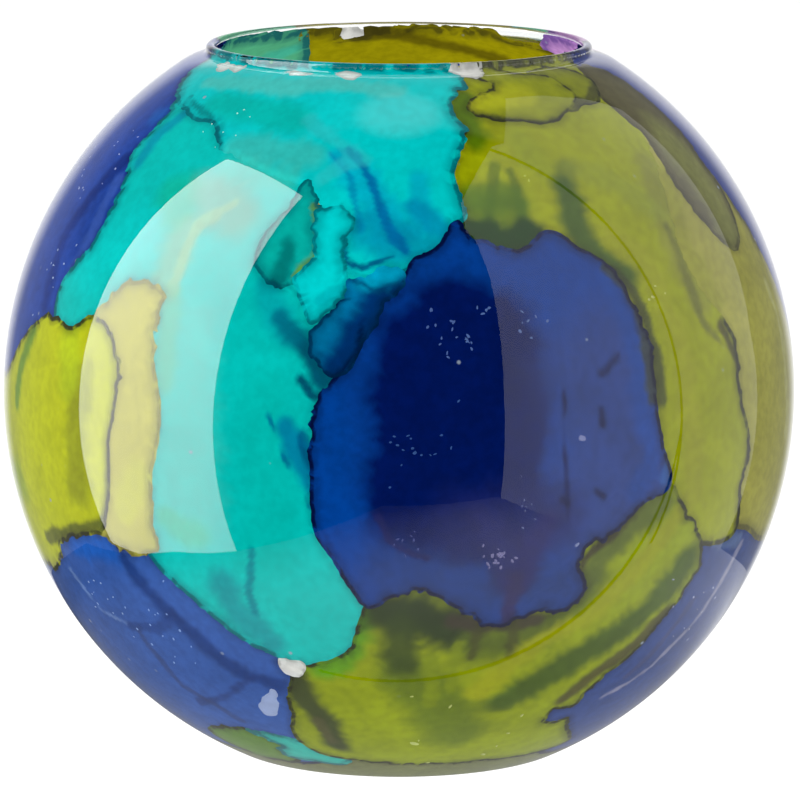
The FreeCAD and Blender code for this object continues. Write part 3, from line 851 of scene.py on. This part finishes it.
def make_pool(layer, node, slot, colour, strokes):
    pieces = []
    for rim in rims(node):
        middle = rim.mean(axis=0)
        middle /= np.linalg.norm(middle)
        if area(to_flat(rim, middle)) > 0:
            lap = LAP + layer * LAP_STEP
            rays, faces, gap = filled(ragged(even_steps(rim, RIM_STEP), lap), middle)
            pieces.append((rays, faces, np.maximum(gap - lap, 0)))
    rays = np.vstack([piece[0] for piece in pieces])
    gap = np.concatenate([piece[2] for piece in pieces])
    faces, start = [], 0
    for piece in pieces:
        faces += [tuple(corner + start for corner in face) for face in piece[1]]
        start += len(piece[0])
    obj = shell(node + "_ink", rays, faces, layer)
    paint, calm = painted(rays, colour, strokes)
    give_attributes(obj, paint, gap + calm * CALM_RIM)
    obj.data.materials.append(MATERIALS[slot])
    lit_from_behind(obj)
    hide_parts(node)
    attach(obj, "root")


# ---- specks ----

# Pale specks laid on the glass before the pools: painted light that shines through pinholes in the
# lacquer and glints in seeds in the glass. Colour, around, up, spread in degrees, count, and half
# length in millimetres.

LIGHT_SPECKS = (
    ((84, 104, 152), 19.5, 19, 2.6, 7, 0.45),
    ((76, 100, 156), 6, 16.5, 3.4, 13, 0.42),
    ((80, 106, 160), 12.5, 21, 1.2, 4, 0.6),
    ((80, 106, 160), 10, 16.5, 1.4, 6, 0.6),
    ((112, 110, 152), 14.8, -14.5, 2.4, 20, 0.5),
    ((86, 94, 138), 18, -7, 3.5, 8, 0.32),
    ((120, 128, 172), 26.5, 2, 0.1, 1, 1.1),
    ((120, 130, 170), 26.5, -13.5, 0.1, 1, 0.95),
    ((54, 84, 140), 3.5, 2, 6.0, 16, 0.42),
    ((66, 76, 130), 1.5, -11, 3.0, 8, 0.38),
    ((168, 176, 100), 14, -50, 11.0, 8, 0.6),
    ((176, 186, 110), 3.5, -51.5, 0.1, 1, 1.5),
    ((168, 178, 70), 24, 40, 0.8, 2, 0.5),
    ((178, 182, 108), 42, 21, 2.4, 4, 0.5),
    ((120, 150, 205), -42, -29, 8.0, 16, 0.35),
    ((135, 160, 205), -55, -26, 6.0, 12, 0.3),
    ((150, 165, 215), -70, 38, 9.0, 18, 0.34),
    ((150, 170, 210), -66, 22, 6.0, 10, 0.3),
    ((190, 230, 215), -40, 47, 4.0, 8, 0.2),
    ((150, 155, 185), 56, -28, 8.0, 12, 0.35),
    ((190, 200, 215), 150, 0, 14.0, 14, 0.4),
)


def spots(chance, around, up, spread, count, size):
    """Small irregular outlines of directions, scattered about one place."""
    for _ in range(count):
        shift = (chance.gauss(0, spread / 2), chance.gauss(0, spread / 2))
        middle = direction(around + shift[0] / math.cos(math.radians(up)), up + shift[1])
        side, rise = flat_axes(middle)
        lean, slim = chance.uniform(0, math.pi), chance.uniform(0.35, 0.8)
        length = size * 0.001 * chance.uniform(0.6, 1.3)
        outline = [middle]
        for angle in np.linspace(0, 2 * math.pi, SPOT_CORNERS, endpoint=False):
            far = length * chance.uniform(0.8, 1.15)
            x, y = far * math.cos(angle), far * slim * math.sin(angle)
            across = x * math.cos(lean) - y * math.sin(lean)
            along = x * math.sin(lean) + y * math.cos(lean)
            outline.append(middle + (side * across + rise * along) / INSIDE_R)
        yield np.array(outline)


def make_light_specks():
    chance = random.Random(5)
    rays, faces, paint = [], [], []
    for colour, *where in LIGHT_SPECKS:
        for spot in spots(chance, *where):
            start = sum(len(row) for row in rays)
            ring = len(spot) - 1
            rays.append(spot / np.linalg.norm(spot, axis=1)[:, None])
            faces += [(start, start + 1 + (i + 1) % ring, start + 1 + i) for i in range(ring)]
            paint.append(np.tile(linear(colour), (len(spot), 1)))
    rays, paint = np.vstack(rays), np.vstack(paint)
    light_specks = shell("light_specks", rays, faces, -LIGHT_SPECK_LAYERS)
    give_attributes(light_specks, paint, np.full(len(rays), CALM_RIM))
    light_specks.data.materials.append(MATERIALS["white_ink"])
    lit_from_behind(light_specks)
    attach(light_specks, "root")


# ---- the studio ----

CAMERA_DISTANCE = 1.5
CAMERA_HEIGHT = 9.8        # degrees above the ball's waist
LENS = 262.4
FRAME_SHIFT = (0.00125, -0.0125)
# The glowing table top that the glass reflects, from above, with painted light and a painted shadow of
# the vase on it.
TABLE_OUTLINE = ((-0.02, -0.29), (0.13, -0.29), (0.175, -0.06), (0.185, 0), (0.13, 0.13), (0, 0.185),
                 (-0.13, 0.13), (-0.185, 0), (-0.15, -0.1), (-0.118, -0.143))
STUDIO_R = 1.2
SOFTBOX_FRONT = (-51.5, 0, 1.0)     # its upright edges: a direction and a distance
SOFTBOX_BACK = (-101, 0, 1.3)
SOFTBOX_HEIGHTS = (-0.73, 1.7)      # from the ball's centre
RING_R = 0.95
RING_Y = -0.1
RING_WIDTH = 0.016
RING_ARC = (-100, 72)      # degrees from the right, upwards
RING_STEPS = 120
TABLE_SEAM = ((-0.03, -0.0869), (0.945, -0.094), (0.945, -0.106), (-0.03, -0.0881))
# Each fade runs from one height or distance and its brightness to another and its brightness.
SOFTBOX_FADE = (-0.5, 3.9, 0.9, 6.6)        # by height
TABLE_BRIGHT = (0.1, -0.05)                 # where the painted light on the table top is brightest
TABLE_FADE = (0.13, 0.95, 0.25, 0.1)        # by distance from there
VASE_SHADE = (0.085, 0.4, 0.14, 1.0)        # painted shadow of the vase, by distance from the vase's axis
# Parts of the tent: an axis, then a fade by the cosine of a direction's angle from it.
TENT_BACK = ((0, 1, 0), 0.0, 0.004, 0.06, 0.3)
TENT_FAR_GLOW = ((0, 1, 0), 0.88, 0.0, 0.97, 0.7)
TENT_DIM_CORNER = ((-0.65, 0.25, 0.72), 0.66, 1.0, 0.92, 0.15)
TENT_TOP_GLOW = ((0, 0.1, 1), 0.983, 0.0, 0.996, 0.8)
SEAM_GLOW = 0.02
FLOOR_SIZE = 6.0           # half of its width
FLOOR_GLOW = 0.22          # lifts the pale floor to the white behind it
TABLE_LIFT = 0.0002        # the reflected table top lies just above the floor
SEAM_LIFT = 0.0006
KEY_WATTS = 7
KEY_SIZE = 0.9
KEY_FROM = (-50, 45)


def aim(obj, place, target):
    obj.location = place
    obj.rotation_euler = (Vector(target) - Vector(place)).to_track_quat("-Z", "Y").to_euler()


def make_camera():
    data = bpy.data.cameras.new("camera")
    data.lens = LENS
    data.shift_x, data.shift_y = FRAME_SHIFT
    camera = bpy.data.objects.new("camera", data)
    bpy.context.scene.collection.objects.link(camera)
    aim(camera, CENTRE + CAMERA_DISTANCE * direction(0, CAMERA_HEIGHT), CENTRE)
    bpy.context.scene.camera = camera


def glow_material(name, brightness):
    """Plain light. Its brightness is a number, or a function that makes it in the node tree."""
    material = bpy.data.materials.new(name)
    material.use_nodes = True
    tree = material.node_tree
    tree.nodes.remove(tree.nodes["Principled BSDF"])
    glow = add(tree, "ShaderNodeEmission")
    if callable(brightness):
        tree.links.new(brightness(tree), glow.inputs["Strength"])
    else:
        glow.inputs["Strength"].default_value = brightness
    tree.links.new(glow.outputs[0], tree.nodes["Material Output"].inputs["Surface"])
    material.cycles.emission_sampling = "NONE"
    return material


def softbox_glow(tree):
    """Brighter towards the softbox's top."""
    split = add(tree, "ShaderNodeSeparateXYZ")
    tree.links.new(add(tree, "ShaderNodeTexCoord").outputs["Object"], split.inputs[0])
    return ramp_of(tree, split.outputs["Z"], *SOFTBOX_FADE, "LINEAR")


def table_glow(tree):
    """Painted light, brightest at the table's right front, and a painted shadow of the vase under it.
    """
    def length(place):
        node = add(tree, "ShaderNodeVectorMath", operation="LENGTH")
        tree.links.new(place, node.inputs[0])
        return node.outputs["Value"]

    away = length(add(tree, "ShaderNodeTexCoord").outputs["Object"])
    radius = length(add(tree, "ShaderNodeNewGeometry").outputs["Position"])
    lit = ramp_of(tree, away, *TABLE_FADE, "LINEAR")
    return joined(tree, lit, ramp_of(tree, radius, *VASE_SHADE, "LINEAR"))


def only_reflected(obj):
    """A light that shows only as its reflection in the glass."""
    obj.visible_camera = False
    obj.visible_diffuse = False
    obj.visible_transmission = False
    obj.visible_shadow = False
    obj.visible_volume_scatter = False
    obj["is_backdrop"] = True


def left_softbox():
    front = direction(*SOFTBOX_FRONT[:2]) * SOFTBOX_FRONT[2]
    back = direction(*SOFTBOX_BACK[:2]) * SOFTBOX_BACK[2]
    low, high = ((0, 0, height) for height in SOFTBOX_HEIGHTS)
    corners = [CENTRE + front + low, CENTRE + back + low, CENTRE + back + high, CENTRE + front + high]
    box = mesh_object("left_softbox", [tuple(c) for c in corners], [(0, 1, 2, 3)])
    box.data.materials.append(glow_material("softbox_glow", softbox_glow))
    only_reflected(box)


def mirrored(around, up, distance):
    """The place that the ball's face mirrors to the camera in a reflected direction."""
    ray = direction(around, up)
    facing = ray + direction(0, CAMERA_HEIGHT)
    return CENTRE + BALL_R * facing / np.linalg.norm(facing) + ray * distance


# The window's outline, as the reflected directions of its corners.
RIGHT_PANEL = ((135, 61.5), (95, 67), (87, 69.4), (34.6, 62), (30, 53.4), (32.5, 51.5), (32.7, 40),
               (30.7, 17.5), (30, 6), (29.8, -22), (30.5, -35), (33.6, -45), (46, -50), (100, -50),
               (126, -30), (126, 2), (138, 22.6), (144, 31.5), (139, 47), (135, 60))
PANEL_MIDDLE = (80, 5)


def right_panel():
    corners = [tuple(mirrored(around, up, STUDIO_R)) for around, up in RIGHT_PANEL]
    middle = tuple(mirrored(*PANEL_MIDDLE, STUDIO_R))
    faces = [(i, (i + 1) % len(corners), len(corners)) for i in range(len(corners))]
    panel = mesh_object("right_panel", corners + [middle], faces)
    panel.data.materials.append(glow_material("panel_glow", 1.0))
    only_reflected(panel)


def seam_ring():
    """The dark seam of the light tent, over the vase just in front of it and across the table."""
    turn = np.radians(np.linspace(*RING_ARC, RING_STEPS))
    corners = [(RING_R * math.cos(a), RING_Y + side * RING_WIDTH, BALL_CENTRE_Z + RING_R * math.sin(a))
               for a in turn for side in (-0.5, 0.5)]
    faces = [(i, i + 1, i + 3, i + 2) for i in range(0, len(corners) - 3, 2)]
    ring = mesh_object("seam_ring", corners, faces)
    foot = mesh_object("table_seam", [(x, y, SEAM_LIFT) for x, y in TABLE_SEAM], [(0, 1, 2, 3)])
    dark = glow_material("seam_dark", SEAM_GLOW)
    for part in (ring, foot):
        part.data.materials.append(dark)
        only_reflected(part)


def make_floor():
    """A pale floor that runs out of sight, and a glowing table top with painted light and shadow that
    the glass reflects.
    """
    size = FLOOR_SIZE
    corners = [(-size, -size, 0), (size, -size, 0), (size, size, 0), (-size, size, 0)]
    floor = mesh_object("floor", corners, [(0, 1, 2, 3)])
    material = bpy.data.materials.new("floor_white")
    material.use_nodes = True
    shader = material.node_tree.nodes["Principled BSDF"]
    shader.inputs["Base Color"].default_value = (0.8, 0.8, 0.8, 1)
    shader.inputs["Roughness"].default_value = 0.9
    shader.inputs["Emission Color"].default_value = (1, 1, 1, 1)
    shader.inputs["Emission Strength"].default_value = FLOOR_GLOW
    floor.data.materials.append(material)
    floor.visible_glossy = False
    floor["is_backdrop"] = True
    rim = [(x - TABLE_BRIGHT[0], y - TABLE_BRIGHT[1], 0) for x, y in TABLE_OUTLINE]
    table = mesh_object("table", rim, [tuple(range(len(rim)))])
    table.location = (*TABLE_BRIGHT, TABLE_LIFT)
    table.data.materials.append(glow_material("table_glow", table_glow))
    only_reflected(table)


def make_world():
    """White behind the vase for the camera, soft light for it, and a dim tent in its mirror."""
    world = bpy.data.worlds.new("studio")
    bpy.context.scene.world = world
    world.use_nodes = True
    tree = world.node_tree
    back = tree.nodes["Background"]
    place = add(tree, "ShaderNodeTexCoord").outputs["Generated"]

    def towards(axis, *fade):
        """A brightness that fades as a direction turns towards an axis."""
        turned = add(tree, "ShaderNodeVectorMath", operation="DOT_PRODUCT")
        tree.links.new(place, turned.inputs[0])
        turned.inputs[1].default_value = Vector(axis).normalized()
        return ramp_of(tree, turned.outputs["Value"], *fade)

    tent = joined(tree, towards(*TENT_BACK), towards(*TENT_FAR_GLOW), "ADD")
    tent = joined(tree, tent, towards(*TENT_DIM_CORNER))
    tent = joined(tree, tent, towards(*TENT_TOP_GLOW), "ADD")
    path = add(tree, "ShaderNodeLightPath")
    glossy, passing = path.outputs["Is Glossy Ray"], path.outputs["Is Transmission Ray"]
    in_mirror = joined(tree, glossy, passing, "SUBTRACT")
    strength = add(tree, "ShaderNodeMix", data_type="FLOAT", clamp_factor=True)
    tree.links.new(in_mirror, strength.inputs[0])
    strength.inputs[2].default_value = 1.0
    tree.links.new(tent, strength.inputs[3])
    tree.links.new(strength.outputs[0], back.inputs["Strength"])
    back.inputs["Color"].default_value = (1, 1, 1, 1)


def key_light():
    data = bpy.data.lights.new("key", "AREA")
    data.energy = KEY_WATTS
    data.size = KEY_SIZE
    lamp = bpy.data.objects.new("key", data)
    bpy.context.scene.collection.objects.link(lamp)
    aim(lamp, CENTRE + direction(*KEY_FROM) * STUDIO_R, CENTRE)
    lamp.visible_glossy = False
    lamp.visible_transmission = False
    lamp.visible_camera = False


def make_studio():
    make_camera()
    make_world()
    key_light()
    left_softbox()
    right_panel()
    seam_ring()
    make_floor()
    scene = bpy.context.scene
    scene.view_settings.view_transform = "Standard"
    scene.cycles.caustics_refractive = False
    scene.cycles.caustics_reflective = False


make_studio()
make_glass()
for layer, pool in enumerate(POOLS):
    make_pool(layer, *pool)
make_light_specks()

boxes = {"cad": CAD_BOX, "visual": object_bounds()}
{name: [list(corner) for corner in box] for name, box in boxes.items()}
